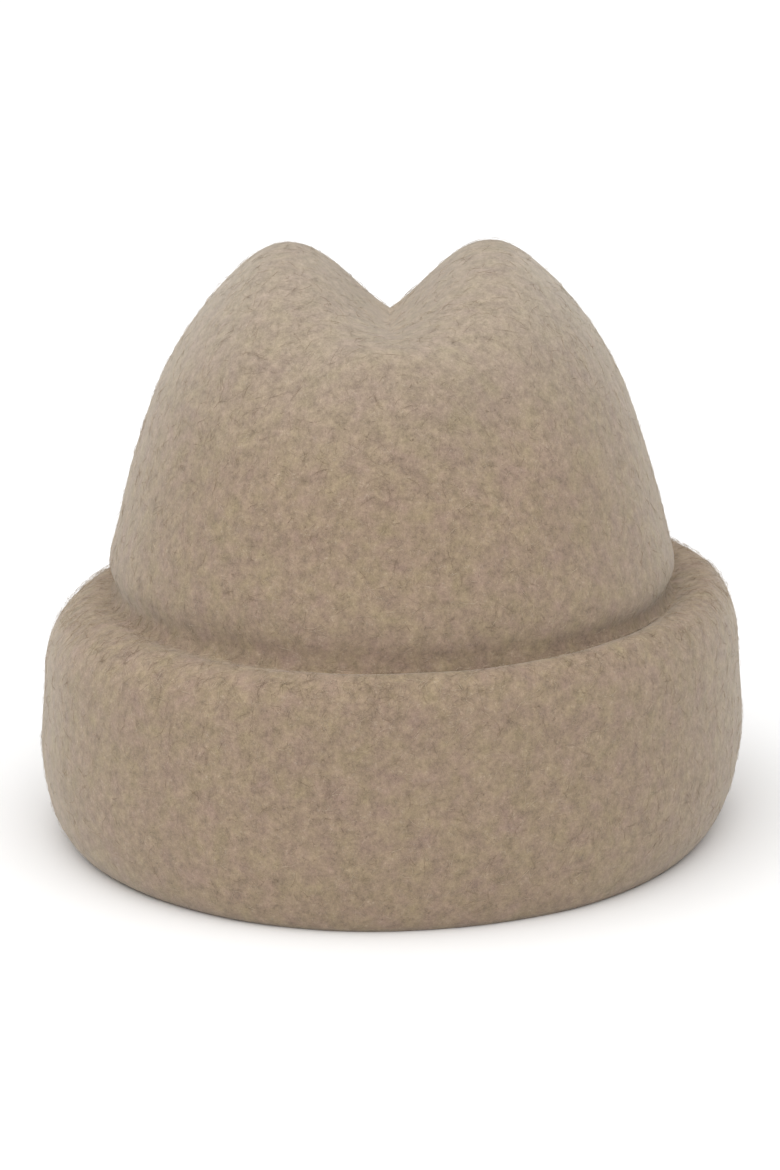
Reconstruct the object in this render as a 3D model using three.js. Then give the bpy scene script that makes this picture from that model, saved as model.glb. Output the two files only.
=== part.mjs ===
// A felt hat, blocked from one piece of wool felt.
// The crown has a crease along its top and two soft pinches in front.
// The foot of the crown curves in to a soft groove, from where the felt turns over a deep, padded-looking cuff
// and down to the rim.
// There it folds under and runs up inside as a hem, whose raw edge ends just below the groove.
// Millimetres, +Z up. The front faces -Y, and the hat rests on its folded rim at Z = 0.

import * as THREE from "three";

// Felt and the head hollow that it encloses
const feltThickness = 3;
const headWidth = 170;
const headLength = 198;

// Crown, as it comes off the block and before it is creased
const crownHeight = 192.2; // from the table to the top of the open crown
const crownLean = 1; // how much higher its -X side stands than its middle
const shoulderDrop = 2; // how far below the cuff's full height the crown's shares start

// Dents pressed into the crown
const creaseDepth = 32;
const pinchDepth = 2.6;

// Cuff
const cuffHeight = 75.4;
const cuffDepth = 19.7; // how far the cuff stands out at the sides and at the back
const cuffFrontDepth = 13.5;
const cuffRise = 4; // how much higher its roll stands on the +X side than in the middle
const cuffTurn = 22; // degrees that its oval is turned against the crown's
const footPress = 0.45; // how far the hat's weight flattens the fold that it stands on

const spokes = 72;

// The open crown, from its top down. rise is a share of the height above the shoulder,
// and side, front and back are shares of the half width and half length.
const crownRows = [
  { name: "top", rise: 1, side: 0, front: 0, back: 0, steps: 0 },
  { name: "dome", rise: 0.975, side: 0.24, front: 0.26, back: 0.18, steps: 4 },
  { name: "brow", rise: 0.89, side: 0.462, front: 0.5, back: 0.37, steps: 4 },
  { name: "upper wall", rise: 0.756, side: 0.645, front: 0.69, back: 0.57, steps: 3 },
  { name: "middle wall", rise: 0.595, side: 0.786, front: 0.81, back: 0.73, steps: 3 },
  { name: "lower wall", rise: 0.378, side: 0.896, front: 0.92, back: 0.88, steps: 3 },
  { name: "base", rise: 0.16, side: 0.978, front: 0.995, back: 0.97, steps: 2 },
];

// The felt from the crown's foot through the groove, over the cuff's roll, down its wall,
// round the fold that the hat stands on and up inside as the hem.
// out is a share of the cuff's depth, up a share of its height and tilt a share of its rise to the +X side.
const cuffRows = [
  { name: "crown's foot", out: -0.01, up: 1.12, tilt: 0, steps: 1 },
  { name: "groove wall", out: -0.1, up: 1.035, tilt: 0.1, steps: 2 },
  { name: "groove", out: 0.05, up: 0.968, tilt: 0.1, steps: 2 },
  { name: "inner roll", out: 0.32, up: 0.975, tilt: 0.4, steps: 1 },
  { name: "crest", out: 0.57, up: 0.96, tilt: 0.88, steps: 1 },
  { name: "roll", out: 0.79, up: 0.905, tilt: 1, steps: 2 },
  { name: "shoulder", out: 0.943, up: 0.79, tilt: 0.8, steps: 2 },
  { name: "high wall", out: 0.995, up: 0.6, tilt: 0.6, steps: 2 },
  { name: "belly", out: 1.045, up: 0.37, tilt: 0.37, steps: 1 },
  { name: "low wall", out: 0.97, up: 0.2, tilt: 0.2, steps: 1 },
  { name: "outer fold", out: 0.83, up: 0.076, tilt: 0.07, steps: 1 },
  { name: "outer foot", out: 0.6, up: 0, tilt: 0, steps: 1 },
  { name: "inner foot", out: 0.36, up: 0, tilt: 0, steps: 1 },
  { name: "inner fold", out: 0.1, up: 0.075, tilt: 0, steps: 2 },
  { name: "hem wall", out: 0, up: 0.3, tilt: 0, steps: 1 },
  { name: "raw edge", out: 0, up: 0.885, tilt: 0, steps: 1 },
];

// The crease. middle, left and right are shares of the crown's half width: where it runs and how far it spreads.
// front and back are shares of the half length: how far it reaches. kink sharpens its floor to a V
// in the middle of the crown, slope sets how its flanks fall, run how it fades and ease how softly it ends.
const crease = {
  middle: -0.007,
  left: 0.512,
  right: 0.495,
  front: 0.71,
  back: 0.8,
  kink: 0.84,
  slope: 2.15,
  run: 2.2,
  ease: 0.1,
};

// The two pinches: across is a share of the half width, halfWidth too,
// and low and high are shares of the height above the shoulder.
const pinches = [
  { name: "left pinch", across: -0.34, halfWidth: 0.2, low: 0.48, high: 0.86 },
  { name: "right pinch", across: 0.34, halfWidth: 0.2, low: 0.3, high: 0.74 },
];

const halfWidth = headWidth / 2 + feltThickness / 2;
const halfLength = headLength / 2 + feltThickness / 2;
const crownShoulder = cuffHeight - shoulderDrop;
const crownRise = crownHeight - feltThickness / 2 - crownShoulder;

// Each row becomes the half sizes of an oval, its height, and how far it is turned and lifted to one side
function crownRing(row) {
  return {
    side: halfWidth * row.side,
    front: halfLength * row.front,
    back: halfLength * row.back,
    height: crownShoulder + crownRise * row.rise,
    turn: 0,
    lift: -crownLean * row.rise * row.side,
    steps: row.steps,
  };
}

function cuffRing(row) {
  const foot = feltThickness / 2 - footPress;
  return {
    side: halfWidth + cuffDepth * row.out,
    front: halfLength + cuffFrontDepth * row.out,
    back: halfLength + cuffDepth * row.out,
    height: foot + (cuffHeight - foot) * row.up,
    turn: THREE.MathUtils.degToRad(cuffTurn) * THREE.MathUtils.clamp(row.out, 0, 1),
    lift: cuffRise * row.tilt,
    steps: row.steps,
  };
}

// A smooth value through four neighbours, between the middle two
function catmullRom(before, from, to, after, u) {
  const leave = (to - before) / 2;
  const arrive = (after - from) / 2;
  const bend = (2 * (from - to) + leave + arrive) * u ** 3;
  return bend + (3 * (to - from) - 2 * leave - arrive) * u ** 2 + leave * u + from;
}

// Rings between the table's own, as many as the steps column says
function refine(rings) {
  const columns = ["side", "front", "back", "height", "turn", "lift"];
  const overTop = { ...rings[1] };
  for (const key of ["side", "front", "back"]) {
    overTop[key] = -rings[1][key];
  }
  const padded = [overTop, ...rings, rings[rings.length - 1]];
  const fine = [rings[0]];
  for (let i = 1; i < rings.length; i += 1) {
    for (let step = 1; step <= rings[i].steps; step += 1) {
      const ring = {};
      for (const key of columns) {
        const [before, from, to, after] = [0, 1, 2, 3].map((k) => padded[i - 1 + k][key]);
        ring[key] = catmullRom(before, from, to, after, step / rings[i].steps);
      }
      fine.push(ring);
    }
  }
  return fine;
}

// How deep the crease is above a point of the open crown
function creaseAt(x, y) {
  const aside = x - halfWidth * crease.middle;
  const u = Math.min(1, Math.abs(aside) / (halfWidth * (aside < 0 ? crease.left : crease.right)));
  const end = halfLength * (y < 0 ? crease.front : crease.back);
  const v = Math.abs(y) / end;
  const kink = crease.kink * Math.max(0, 1 - v * v);
  const across = (1 - kink * u) * (1 - u * u) ** crease.slope;
  const fall = 1 - v ** crease.run;
  const along = (fall + Math.hypot(fall, crease.ease)) / (1 + Math.hypot(1, crease.ease));
  return creaseDepth * across * along;
}

// How far the front wall is pressed in at a point
function pinchAt(x, y, z) {
  let press = 0;
  for (const pinch of pinches) {
    const middle = crownShoulder + (crownRise * (pinch.low + pinch.high)) / 2;
    const reach = (crownRise * (pinch.high - pinch.low)) / 2;
    const u = Math.min(1, Math.abs(x - halfWidth * pinch.across) / (halfWidth * pinch.halfWidth));
    const v = Math.min(1, Math.abs(z - middle) / reach);
    press += y < 0 ? pinchDepth * (1 - u * u) ** 2 * (1 - v * v) ** 2 : 0;
  }
  return press;
}

// A point in the middle of the felt, on one spoke of one ring
function feltPoint(ring, spoke, onCrown) {
  const angle = (spoke / spokes) * 2 * Math.PI;
  const sine = Math.sin(angle + ring.turn);
  const point = new THREE.Vector3(
    ring.side * Math.cos(angle + ring.turn),
    (sine < 0 ? ring.front : ring.back) * sine,
    ring.height + ring.lift * Math.cos(angle),
  );
  point.applyAxisAngle(new THREE.Vector3(0, 0, 1), -ring.turn);
  if (onCrown) {
    const { x, y, z } = point;
    point.z -= creaseAt(x, y);
    point.y += pinchAt(x, y, z);
  }
  return point;
}

// The sheet in the middle of the felt: one point at the top, then a ring of spokes for each row
function middleSheet() {
  const crownRings = crownRows.map(crownRing);
  const fine = refine([...crownRings, ...cuffRows.map(cuffRing)]);
  const crownEnd = crownRows.reduce((sum, row) => sum + row.steps, 0);
  const points = [feltPoint(fine[0], 0, true)];
  fine.slice(1).forEach((ring, i) => {
    for (let spoke = 0; spoke < spokes; spoke += 1) {
      points.push(feltPoint(ring, spoke, i + 1 <= crownEnd));
    }
  });
  return { points, ringCount: fine.length - 1 };
}

// Triangles of a sheet whose first point is the top, facing out
function sheetTriangles(ringCount) {
  const at = (ring, spoke) => 1 + ring * spokes + (spoke % spokes);
  const triangles = [];
  for (let spoke = 0; spoke < spokes; spoke += 1) {
    triangles.push([0, at(0, spoke), at(0, spoke + 1)]);
    for (let ring = 0; ring + 1 < ringCount; ring += 1) {
      triangles.push([at(ring, spoke), at(ring + 1, spoke), at(ring + 1, spoke + 1)]);
      triangles.push([at(ring, spoke), at(ring + 1, spoke + 1), at(ring, spoke + 1)]);
    }
  }
  return triangles;
}

function sheetNormals(points, triangles) {
  const sheet = new THREE.BufferGeometry().setFromPoints(points);
  sheet.setIndex(triangles.flat());
  sheet.computeVertexNormals();
  return sheet.getAttribute("normal");
}

// The felt gets its thickness on both sides of the middle sheet and is closed at its raw edge.
function feltSolid() {
  const { points, ringCount } = middleSheet();
  const triangles = sheetTriangles(ringCount);
  const normals = sheetNormals(points, triangles);
  const faces = [1, -1].map((face) =>
    points.map((point, i) => {
      const normal = new THREE.Vector3().fromBufferAttribute(normals, i);
      const moved = point.clone().addScaledVector(normal, (face * feltThickness) / 2);
      moved.z = Math.max(0, moved.z); // pressed flat where the hat stands
      return moved;
    }),
  );
  const count = points.length;
  const inner = triangles.map(([a, b, c]) => [a + count, c + count, b + count]);
  const edge = [];
  const lastRing = 1 + (ringCount - 1) * spokes;
  for (let spoke = 0; spoke < spokes; spoke += 1) {
    const a = lastRing + spoke;
    const b = lastRing + ((spoke + 1) % spokes);
    edge.push([a, a + count, b + count], [a, b + count, b]);
  }
  const solid = new THREE.BufferGeometry().setFromPoints(faces.flat());
  solid.setIndex([...triangles, ...inner, ...edge].flat());
  solid.computeVertexNormals();
  return solid;
}

const felt = new THREE.MeshStandardMaterial({ color: 0xa38c76, roughness: 0.95, metalness: 0 });

const feltBody = new THREE.Mesh(feltSolid(), felt);
feltBody.name = "felt_body";

// The origin is under the middle of the hat's box.
feltBody.geometry.computeBoundingBox();
const middle = feltBody.geometry.boundingBox.getCenter(new THREE.Vector3());
feltBody.position.set(-middle.x, -middle.y, 0);

const hat = new THREE.Group();
hat.add(feltBody);

export default hat;
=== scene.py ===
import math
import random

import bmesh
import bpy
from mathutils import Euler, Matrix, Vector, noise


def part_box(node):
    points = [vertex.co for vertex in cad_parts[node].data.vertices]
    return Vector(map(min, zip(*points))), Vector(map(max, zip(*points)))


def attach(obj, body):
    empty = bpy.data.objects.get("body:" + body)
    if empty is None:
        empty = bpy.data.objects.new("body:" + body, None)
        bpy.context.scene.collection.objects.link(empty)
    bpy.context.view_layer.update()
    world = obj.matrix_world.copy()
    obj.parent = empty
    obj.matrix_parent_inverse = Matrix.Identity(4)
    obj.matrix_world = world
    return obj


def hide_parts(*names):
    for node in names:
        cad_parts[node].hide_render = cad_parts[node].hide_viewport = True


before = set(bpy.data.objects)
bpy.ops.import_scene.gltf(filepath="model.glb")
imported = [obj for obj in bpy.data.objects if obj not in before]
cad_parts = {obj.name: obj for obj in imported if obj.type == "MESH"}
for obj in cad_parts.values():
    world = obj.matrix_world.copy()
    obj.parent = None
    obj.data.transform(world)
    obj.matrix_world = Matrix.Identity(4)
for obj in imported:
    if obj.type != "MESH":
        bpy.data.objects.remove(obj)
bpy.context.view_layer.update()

mm = 0.001
print("frame loaded")


def addObject(name, data):
    thing = bpy.data.objects.new(name, data)
    bpy.context.scene.collection.objects.link(thing)
    return thing


def meshFrom(name, bm):
    mesh = bpy.data.meshes.new(name)
    bm.to_mesh(mesh)
    bm.free()
    return mesh


# Camera: the photo looks slightly down on the front of the hat. Angles are in degrees.
cameraSettings = {
    "aimHeight": 90 * mm,
    "distance": 1002 * mm,
    "elevation": 13.48,
    "tiltDown": 0.91,  # the hat sits a little above the middle of the picture
    "panLeft": 0.073,
    "lens": 98.6,
    "sensor": 36,
    "farEnd": 50,
}


def addCamera():
    s = cameraSettings
    data = bpy.data.cameras.new("camera")
    data.sensor_fit = "VERTICAL"
    data.sensor_height = s["sensor"]
    data.lens = s["lens"]
    data.clip_end = s["farEnd"]
    camera = addObject("camera", data)
    up = math.radians(s["elevation"])
    camera.location = (0, -s["distance"] * math.cos(up), s["aimHeight"] + s["distance"] * math.sin(up))
    pitch = math.radians(90 - s["elevation"] - s["tiltDown"])
    camera.rotation_euler = (pitch, 0, math.radians(s["panLeft"]))
    bpy.context.scene.camera = camera


addCamera()
print("camera placed")


# Shader sums are written as plain expressions on Value, and any other node comes from Recipe.node
class Value:
    def __init__(self, recipe, socket):
        self.recipe = recipe
        self.socket = socket

    def sum(self, operation, first, second):
        node = self.recipe.node("ShaderNodeMath", {"operation": operation}, {0: first, 1: second})
        return Value(self.recipe, node.outputs[0])

    def __add__(self, other):
        return self.sum("ADD", self, other)

    __radd__ = __add__

    def __sub__(self, other):
        return self.sum("SUBTRACT", self, other)

    def __rsub__(self, other):
        return self.sum("SUBTRACT", other, self)

    def __mul__(self, other):
        return self.sum("MULTIPLY", self, other)

    __rmul__ = __mul__

    def __abs__(self):
        return self.sum("ABSOLUTE", self, 0)


class Recipe:
    def __init__(self, name):
        self.material = bpy.data.materials.new(name)
        self.material.use_nodes = True
        self.tree = self.material.node_tree
        self.shader = self.tree.nodes["Principled BSDF"]
        self.place = self.node("ShaderNodeTexCoord", {}, {}).outputs["Object"]

    def node(self, kind, settings, inputs):
        node = self.tree.nodes.new(kind)
        for name, setting in settings.items():
            setattr(node, name, setting)
        for name, value in inputs.items():
            self.feed(node.inputs[name], value)
        return node

    def feed(self, socket, value):
        if isinstance(value, Value):
            value = value.socket
        if isinstance(value, bpy.types.NodeSocket):
            self.tree.links.new(value, socket)
        else:
            socket.default_value = value

    # A clamped step from 0 to 1 between two levels of a value
    def step(self, value, low, high):
        node = self.node("ShaderNodeMapRange", {"interpolation_type": "SMOOTHSTEP"},
                         {"Value": value, "From Min": low, "From Max": high})
        return Value(self, node.outputs["Result"])

    # Cloudy noise. shift moves it, so that no two clouds of one material are alike
    def cloud(self, size, detail, roughness, distortion, shift):
        moved = self.node("ShaderNodeMapping", {},
                          {"Vector": self.place, "Location": (shift, -shift, shift * 0.5)})
        node = self.node("ShaderNodeTexNoise", {},
                         {"Vector": moved.outputs["Vector"], "Scale": 1 / size, "Detail": detail,
                          "Roughness": roughness, "Distortion": distortion})
        return Value(self, node.outputs["Fac"])

    # Sockets 6 and 7 are the two colours, and output 2 is their mix
    def blend(self, share, first, second, mode="MIX"):
        node = self.node("ShaderNodeMix", {"data_type": "RGBA", "blend_type": mode},
                         {0: share, 6: first, 7: second})
        return node.outputs[2]

    def bump(self, height, strength, distance, before=None):
        inputs = {"Height": height, "Strength": strength, "Distance": distance}
        if before is not None:
            inputs["Normal"] = before
        return self.node("ShaderNodeBump", {}, inputs).outputs["Normal"]

    def finish(self, sockets):
        for name, value in sockets.items():
            self.feed(self.shader.inputs[name], value)
        return self.material


# sRGB levels from 0 to 255 to the linear colour that a socket takes
def dye(red, green, blue):
    def linear(level):
        share = level / 255
        return share / 12.92 if share <= 0.04045 else ((share + 0.055) / 1.055) ** 2.4
    return (linear(red), linear(green), linear(blue), 1.0)


# A finish without shine, for the loose fibres and the floor
matt = {"Roughness": 0.9, "Specular IOR Level": 0.1}

# Heathered wool felt. Each cloud has its size, detail, roughness, distortion and shift,
# and each bump its strength and height.
feltLook = {
    "straw": dye(153, 136, 110),
    "mauve": dye(152, 130, 115),
    "ash": dye(192, 178, 162),  # light fibres
    "fleck": dye(98, 80, 62),
    "paintedHighlight": dye(176, 167, 154),  # painted highlight: the top of the crown made paler, where the light from above falls
    "tintCloud": (7 * mm, 4, 0.62, 0, 1.7),
    "tintContrast": 2.4,
    "heatherCloud": (3.6 * mm, 5.5, 0.95, 0, 0.31),
    "heatherContrast": 2.0,
    "fleckCloud": (1.0 * mm, 2, 0.55, 0.8, 9.2),
    "fleckLevels": (0.63, 0.76),
    "fleckDepth": 0.45,
    "fibreCloud": (2.4 * mm, 2, 0.55, 1.6, 12.4),
    "fibreWidth": 0.022,
    "breakCloud": (2.4 * mm, 1, 0.55, 0, 14.8),  # breaks the light fibres up
    "breakLevels": (0.5, 0.58),
    "fibreLight": 0.3,
    # heights where the painted highlight on the crown's top starts and is full, then how strong it is
    "paintedHighlightHeights": (115 * mm, 185 * mm),
    "paintedHighlightAmount": 0.36,
    "lumpCloud": (4.5 * mm, 2, 0.55, 0, 15.0),
    "lumpBump": (0.5, 0.4 * mm),
    "napCloud": (0.9 * mm, 3, 0.7, 1.2, 18.0),
    "napBump": (0.6, 0.2 * mm),
    "finish": {
        "Roughness": 0.93,
        "Specular IOR Level": 0.1,
        "Sheen Weight": 0.46,
        "Sheen Roughness": 0.5,
        "Sheen Tint": dye(238, 236, 228),
    },
}


def makeFelt():
    look = feltLook
    r = Recipe("wool_felt")
    heather = r.cloud(*look["heatherCloud"])
    tint = r.cloud(*look["tintCloud"])
    fleck = r.step(r.cloud(*look["fleckCloud"]), *look["fleckLevels"])
    # light fibres follow the level lines of a curling cloud, broken up by a second one
    line = 1.0 - r.step(abs(r.cloud(*look["fibreCloud"]) - 0.5), 0.0, look["fibreWidth"])
    broken = r.step(r.cloud(*look["breakCloud"]), *look["breakLevels"])
    height = r.node("ShaderNodeSeparateXYZ", {}, {0: r.place}).outputs["Z"]
    # painted highlight: the colour grows paler with height over the top of the crown, standing in for the
    # overhead light
    paintedHighlight = r.step(height, *look["paintedHighlightHeights"])
    colour = r.blend(0.5 + (tint - 0.5) * look["tintContrast"], look["straw"], look["mauve"])
    colour = r.blend(line * broken * look["fibreLight"], colour, look["ash"])
    colour = r.blend(paintedHighlight * look["paintedHighlightAmount"], colour, look["paintedHighlight"])
    colour = r.blend(fleck * look["fleckDepth"], colour, look["fleck"])
    shade = 1.0 + (heather - 0.5) * look["heatherContrast"]
    grey = r.node("ShaderNodeCombineColor", {}, {"Red": shade, "Green": shade, "Blue": shade})
    colour = r.blend(1.0, colour, grey.outputs["Color"], "MULTIPLY")
    normal = r.bump(r.cloud(*look["lumpCloud"]), *look["lumpBump"])
    normal = r.bump(r.cloud(*look["napCloud"]), *look["napBump"], before=normal)
    return r.finish({"Base Color": colour, "Normal": normal, **look["finish"]})


# The felt body: sizes of the block and the cuff, and how its sheet runs from the crown's top to the raw edge
feltBody = {
    "felt": 3 * mm,
    "headWidth": 170 * mm,
    "headLength": 198 * mm,
    "crownLean": 1 * mm,  # how much higher its -X side stands than its middle
    "crownHeight": 192.2 * mm,  # from the table to the top of the open crown
    "shoulderDrop": 2 * mm,  # how far below the cuff's full height the crown's shares start
    "creaseDepth": 32 * mm,
    "pinchDepth": 2.6 * mm,
    "cuffHeight": 75.4 * mm,
    "cuffDepth": 19.7 * mm,  # how far the cuff stands out at the sides and at the back
    "cuffFrontDepth": 13.5 * mm,
    "cuffRise": 4 * mm,  # how much higher its crest stands on the +X side than in the middle
    "cuffTurn": math.radians(22),  # how far its oval is turned against the crown's
    "footPress": 0.45 * mm,  # how far the hat's weight flattens the fold that it stands on
    "spokes": 216,
    "fineness": 3,  # rings for each step that a row states
    "wander": 0.55 * mm,  # how uneven the handmade surface is
    "slowWander": 55 * mm,  # how wide its slow dips are
    "quickWander": 17 * mm,
    "quickShare": 0.35,
    "quickShift": (3.1, 0, 7.7),  # keeps the quick dips from following the slow ones
    # rise as a share of the height above the shoulder, then side, front and back as shares
    # of the half width and half length, then steps
    "crownRows": [
        (1, 0, 0, 0, 0),  # top
        (0.975, 0.24, 0.26, 0.18, 4),  # dome
        (0.89, 0.462, 0.5, 0.37, 4),  # brow
        (0.756, 0.645, 0.69, 0.57, 3),  # upper wall
        (0.595, 0.786, 0.81, 0.73, 3),  # middle wall
        (0.378, 0.896, 0.92, 0.88, 3),  # lower wall
        (0.16, 0.978, 0.995, 0.97, 2),  # base
    ],
    # out as a share of the cuff's depth, up as one of its height, tilt as one of its rise, then steps
    "cuffRows": [
        (-0.01, 1.12, 0, 1),  # crown's foot
        (-0.1, 1.035, 0.1, 2),  # groove wall
        (0.05, 0.968, 0.1, 2),  # groove
        (0.32, 0.975, 0.4, 1),  # inner roll
        (0.57, 0.96, 0.88, 1),  # crest
        (0.79, 0.905, 1, 2),  # roll
        (0.943, 0.79, 0.8, 2),  # shoulder
        (0.995, 0.6, 0.6, 2),  # high wall
        (1.045, 0.37, 0.37, 1),  # belly
        (0.97, 0.2, 0.2, 1),  # low wall
        (0.83, 0.076, 0.07, 1),  # outer fold
        (0.6, 0, 0, 1),  # outer foot
        (0.36, 0, 0, 1),  # inner foot
        (0.1, 0.075, 0, 2),  # inner fold
        (0, 0.3, 0, 1),  # hem wall
        (0, 0.885, 0, 1),  # raw edge
    ],
    "crease": {
        "middle": -0.007,
        "left": 0.512,
        "right": 0.495,
        "front": 0.71,
        "back": 0.8,
        "kink": 0.84,  # how sharp a V its floor is in the middle of the crown
        "slope": 2.15,
        "run": 2.2,
        "ease": 0.1,  # how softly it ends
    },
    # across, halfWidth, low, high
    "pinches": [(-0.34, 0.2, 0.48, 0.86), (0.34, 0.2, 0.3, 0.74)],
}


# The oval of every row: half width, front and back half length, height, turn and sideways lift
class HatBlock:
    def __init__(self, s):
        self.s = s
        self.halfWidth = s["headWidth"] / 2 + s["felt"] / 2
        self.halfLength = s["headLength"] / 2 + s["felt"] / 2
        self.shoulder = s["cuffHeight"] - s["shoulderDrop"]
        self.rise = s["crownHeight"] - s["felt"] / 2 - self.shoulder
        self.rings = []
        self.steps = []
        for rise, side, front, back, steps in s["crownRows"]:
            self.rings.append((self.halfWidth * side, self.halfLength * front, self.halfLength * back,
                               self.shoulder + self.rise * rise, 0, -s["crownLean"] * rise * side))
            self.steps.append(steps)
        self.crownEnd = len(self.rings) - 1
        foot = s["felt"] / 2 - s["footPress"]
        for out, up, tilt, steps in s["cuffRows"]:
            side = s["cuffDepth"] * out
            self.rings.append((self.halfWidth + side, self.halfLength + s["cuffFrontDepth"] * out,
                               self.halfLength + side, foot + (s["cuffHeight"] - foot) * up,
                               s["cuffTurn"] * max(0, min(1, out)), s["cuffRise"] * tilt))
            self.steps.append(steps)

    # The oval at any place along the felt, smoothly between the rows
    def ringAt(self, along):
        last = len(self.rings) - 1
        i = min(int(along), last - 1)
        u = along - i
        start, end = self.rings[i], self.rings[i + 1]
        if i == 0:
            across = self.rings[1]
            before = tuple(-c for c in across[:3]) + across[3:]
        else:
            before = self.rings[i - 1]
        after = self.rings[min(i + 2, last)]
        ring = []
        for a, b, c, d in zip(before, start, end, after):
            leave, arrive = (c - a) / 2, (d - b) / 2
            bend = (2 * (b - c) + leave + arrive) * u ** 3
            ring.append(bend + (3 * (c - b) - 2 * leave - arrive) * u ** 2 + leave * u + b)
        return ring

    def creaseAt(self, x, y):
        crease = self.s["crease"]
        aside = x - self.halfWidth * crease["middle"]
        u = min(1, abs(aside) / (self.halfWidth * (crease["left"] if aside < 0 else crease["right"])))
        v = abs(y) / (self.halfLength * (crease["front"] if y < 0 else crease["back"]))
        kink = crease["kink"] * max(0, 1 - v * v)
        across = (1 - kink * u) * (1 - u * u) ** crease["slope"]
        fall = 1 - v ** crease["run"]
        ease = crease["ease"]
        run = (fall + math.hypot(fall, ease)) / (1 + math.hypot(1, ease))
        return self.s["creaseDepth"] * across * run

    def pinchAt(self, x, y, z):
        press = 0
        for across, halfWidth, low, high in self.s["pinches"]:
            middle = self.shoulder + self.rise * (low + high) / 2
            reach = self.rise * (high - low) / 2
            u = min(1, abs(x - self.halfWidth * across) / (self.halfWidth * halfWidth))
            v = min(1, abs(z - middle) / reach)
            press += (1 - u * u) ** 2 * (1 - v * v) ** 2
        return self.s["pinchDepth"] * press if y < 0 else 0

    # Where a point of the flat blank goes on the block
    def place(self, along, angle):
        side, front, back, height, turn, lift = self.ringAt(along)
        sine = math.sin(angle + turn)
        flat = Vector((side * math.cos(angle + turn), (front if sine < 0 else back) * sine, 0))
        flat.rotate(Euler((0, 0, -turn)))
        point = Vector((flat.x, flat.y, height + lift * math.cos(angle)))
        if along <= self.crownEnd:
            dropped = point.z
            point.z -= self.creaseAt(point.x, point.y)
            point.y += self.pinchAt(point.x, point.y, dropped)
        return point


# A flat round blank of felt, one ring of points for each step along the sheet
def cutBlank(block):
    bm = bmesh.new()
    spots = [0.0]
    for i, steps in enumerate(block.steps[1:]):
        count = steps * feltBody["fineness"]
        spots += [i + (k + 1) / count for k in range(count)]
    line = [bm.verts.new((spot, 0, 0)) for spot in spots]
    edges = [bm.edges.new(pair) for pair in zip(line, line[1:])]
    bmesh.ops.spin(bm, geom=line + edges, cent=(0, 0, 0), axis=(0, 0, 1), angle=math.tau,
                   steps=feltBody["spokes"], use_merge=True, use_duplicate=False)
    bmesh.ops.remove_doubles(bm, verts=bm.verts, dist=1e-4)
    # spin leaves its faces in another order each run, and the loose fibres are dealt out by that order
    bm.verts.index_update()
    count = len(bm.verts)

    def byCorners(face):
        corners = [vert.index for vert in face.verts]
        return min(corners) * count + max(corners)

    bm.faces.sort(key=byCorners)
    return bm


# Dips and swells that a hand-blocked hat has
def wander(point):
    s = feltBody
    slow = noise.noise(point / s["slowWander"])
    quick = noise.noise(point / s["quickWander"] + Vector(s["quickShift"]))
    return s["wander"] * (slow + s["quickShare"] * quick)


def makeFeltBody(feltMaterial):
    block = HatBlock(feltBody)
    bm = cutBlank(block)
    for vert in bm.verts:
        vert.co = block.place(vert.co.xy.length, math.atan2(vert.co.y, vert.co.x))
    bmesh.ops.recalc_face_normals(bm, faces=bm.faces)
    bm.normal_update()
    top = max(bm.faces, key=lambda face: face.calc_center_median().z)
    if top.normal.z < 0:
        bmesh.ops.reverse_faces(bm, faces=bm.faces)
        bm.normal_update()
    half = feltBody["felt"] / 2
    moves = [vert.normal * (half + wander(vert.co)) for vert in bm.verts]
    for vert, move in zip(bm.verts, moves):
        vert.co += move
    bmesh.ops.solidify(bm, geom=bm.faces[:], thickness=feltBody["felt"])
    for vert in bm.verts:
        vert.co.z = max(0, vert.co.z)  # pressed flat where the hat stands
    # the hat's box is centred over the origin, as its solid is
    low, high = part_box("felt_body")
    xs = [vert.co.x for vert in bm.verts]
    ys = [vert.co.y for vert in bm.verts]
    centre = Vector((min(xs) + max(xs) - low.x - high.x, min(ys) + max(ys) - low.y - high.y, 0)) / 2
    bmesh.ops.translate(bm, verts=bm.verts, vec=-centre)
    bmesh.ops.recalc_face_normals(bm, faces=bm.faces)
    mesh = meshFrom("blocked_felt", bm)
    mesh.polygons.foreach_set("use_smooth", [True] * len(mesh.polygons))
    mesh.materials.append(feltMaterial)
    body = addObject("blocked_felt", mesh)
    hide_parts("felt_body")
    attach(body, "root")
    return body


# Loose wool fibres that stand a little proud of the felt's outer faces
looseFibres = {
    "doublings": 13,  # how many times one fibre is doubled
    "sides": 3,
    "bends": 2,  # rings of corners between a fibre's ends
    "length": (3 * mm, 9 * mm),
    "thickness": 0.1 * mm,
    "taper": 0.6,  # how much thinner the ends are
    "stand": (0.1 * mm, 0.75 * mm),  # how far the middle of a fibre stands off the felt
    "curl": 1.6 * mm,
    "stray": 0.12,  # share of fibres with one end in the air
    "strayStand": 1.5 * mm,
    "root": 0.15 * mm,  # how deep the ends sit in the felt
    "lowest": 5.5 * mm,  # none grows below this, so that none reaches the floor
    "hemTop": 0.9,  # share of the cuff's height up to which a face that looks inwards is hem
    "onRoll": 4,  # how much denser they are on the cuff's roll, where they soften its edge
    "rollStand": 2.0,  # and how much further they stand off there
    "rollSlope": 0.45,  # the roll is where the felt looks up by more than this
    "rollReach": 9 * mm,  # and lies this near to the cuff's height
    "seed": 11,
    "pale": dye(188, 172, 152),
    "dark": dye(136, 118, 98),
    "mixCloud": (4 * mm, 2, 0.6, 0, 4.4),
    "mixLevels": (0.4, 0.6),
}


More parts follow.
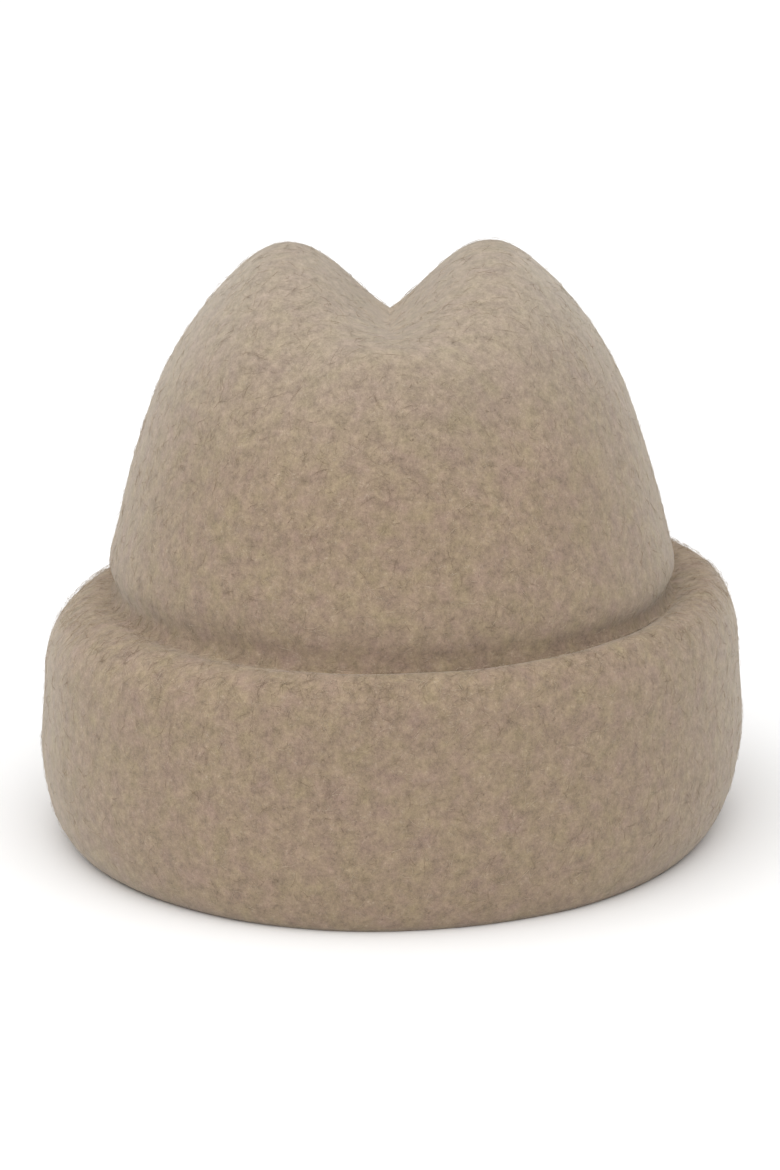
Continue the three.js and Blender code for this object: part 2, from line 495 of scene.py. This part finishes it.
# One fibre, a thin closed rod of unit length, and then very many of them in one piece
def spinFibres():
    s = looseFibres
    bm = bmesh.new()
    bmesh.ops.create_cone(bm, cap_ends=True, segments=s["sides"], radius1=0.5, radius2=0.5, depth=1)
    long = [edge for edge in bm.edges if abs(edge.verts[0].co.z - edge.verts[1].co.z) > 0.5]
    bmesh.ops.subdivide_edges(bm, edges=long, cuts=s["bends"], use_grid_fill=True)
    fibre = [vert.co.copy() for vert in bm.verts]
    mesh = meshFrom("loose_fibres", bm)
    for doubling in range(s["doublings"]):
        pair = bmesh.new()
        pair.from_mesh(mesh)
        pair.from_mesh(mesh)
        pair.to_mesh(mesh)
        pair.free()
    return fibre, mesh


# The felt's faces that can be seen from outside: not its lining side, the hem or what it stands on
def outerFaces(sheet):
    hemTop = feltBody["cuffHeight"] * looseFibres["hemTop"]
    faces = []
    for face in sheet.polygons[:len(sheet.polygons) // 2]:  # the second half is the lining side
        outwards = face.center.x * face.normal.x + face.center.y * face.normal.y > 0
        if face.center.z > looseFibres["lowest"] and (outwards or face.center.z > hemTop):
            faces.append(face)
    return faces


# The top of the cuff, where its faces look up
def onRoll(face):
    near = abs(face.center.z - feltBody["cuffHeight"]) < looseFibres["rollReach"]
    return near and face.normal.z > looseFibres["rollSlope"]


def makeLooseFibres(body):
    s = looseFibres
    pick = random.Random(s["seed"])
    fibre, mesh = spinFibres()
    sheet = body.data
    faces = outerFaces(sheet)
    weights = [face.area * (s["onRoll"] if onRoll(face) else 1) for face in faces]
    places = pick.choices(faces, weights=weights, k=2 ** s["doublings"])
    for i, face in enumerate(places):
        corners = [sheet.vertices[k].co for k in face.vertices]
        a, b = pick.random(), pick.random()
        root = corners[0].lerp(corners[1], a).lerp(corners[-1].lerp(corners[2], a), b)
        along = face.normal.cross(Vector([pick.gauss(0, 1) for k in range(3)])).normalized()
        side = face.normal.cross(along)
        length = pick.uniform(*s["length"])
        curl = pick.uniform(-1, 1) * s["curl"]
        stand = pick.uniform(*s["stand"]) * (s["rollStand"] if onRoll(face) else 1)
        stray = s["strayStand"] * pick.random() if pick.random() < s["stray"] else 0
        for k, spot in enumerate(fibre):
            t = spot.z + 0.5  # 0 at one end of the fibre and 1 at the other
            thin = s["thickness"] * (1 - s["taper"] * abs(2 * t - 1))
            up = stand * math.sin(math.pi * t) + stray * t * t - s["root"]
            mesh.vertices[i * len(fibre) + k].co = (
                root + along * (length * spot.z) + side * (curl * math.sin(math.pi * t) + thin * spot.x)
                + face.normal * (up + thin * spot.y))
    r = Recipe("loose_fibre")
    mix = r.step(r.cloud(*s["mixCloud"]), *s["mixLevels"])
    mesh.materials.append(r.finish({"Base Color": r.blend(mix, s["dark"], s["pale"]), **matt}))
    fibres = addObject("loose_fibres", mesh)
    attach(fibres, "root")
    return fibres


felt = makeFelt()
hat = makeFeltBody(felt)
print("felt blocked:", len(hat.data.polygons), "faces")
loose = makeLooseFibres(hat)
print("loose fibres laid:", len(loose.data.polygons), "faces")


# Studio: a pale floor, a soft white surround and one very wide light overhead, a little to the front
studio = {
    "floorSize": 14,
    "floorGap": 0.05 * mm,  # so that the hat's flat foot and the floor don't share a plane
    "floor": (0.93, 0.93, 0.93, 1),
    "surround": 0.29,
    "lightPower": 3.1,
    "lightSpread": math.radians(95),
    "lightFrom": (-0.15, -0.52, 1.7),
}


def addFloor():
    bm = bmesh.new()
    bmesh.ops.create_grid(bm, x_segments=1, y_segments=1, size=studio["floorSize"] / 2)
    bmesh.ops.translate(bm, verts=bm.verts, vec=(0, 0, -studio["floorGap"]))
    mesh = meshFrom("floor", bm)
    mesh.materials.append(Recipe("pale_floor").finish({"Base Color": studio["floor"], **matt}))
    floor = addObject("floor", mesh)


def addLight():
    s = studio
    world = bpy.data.worlds.new("surround")
    bpy.context.scene.world = world
    world.use_nodes = True
    background = world.node_tree.nodes["Background"]
    background.inputs["Color"].default_value = (1, 1, 1, 1)
    background.inputs["Strength"].default_value = s["surround"]
    data = bpy.data.lights.new("overhead", "SUN")
    data.energy = s["lightPower"]
    data.angle = s["lightSpread"]
    light = addObject("overhead", data)
    light.location = s["lightFrom"]
    light.rotation_euler = Vector(s["lightFrom"]).to_track_quat("Z", "Y").to_euler()
    bpy.context.scene.view_settings.view_transform = "Standard"


addFloor()
addLight()
print("studio lit")
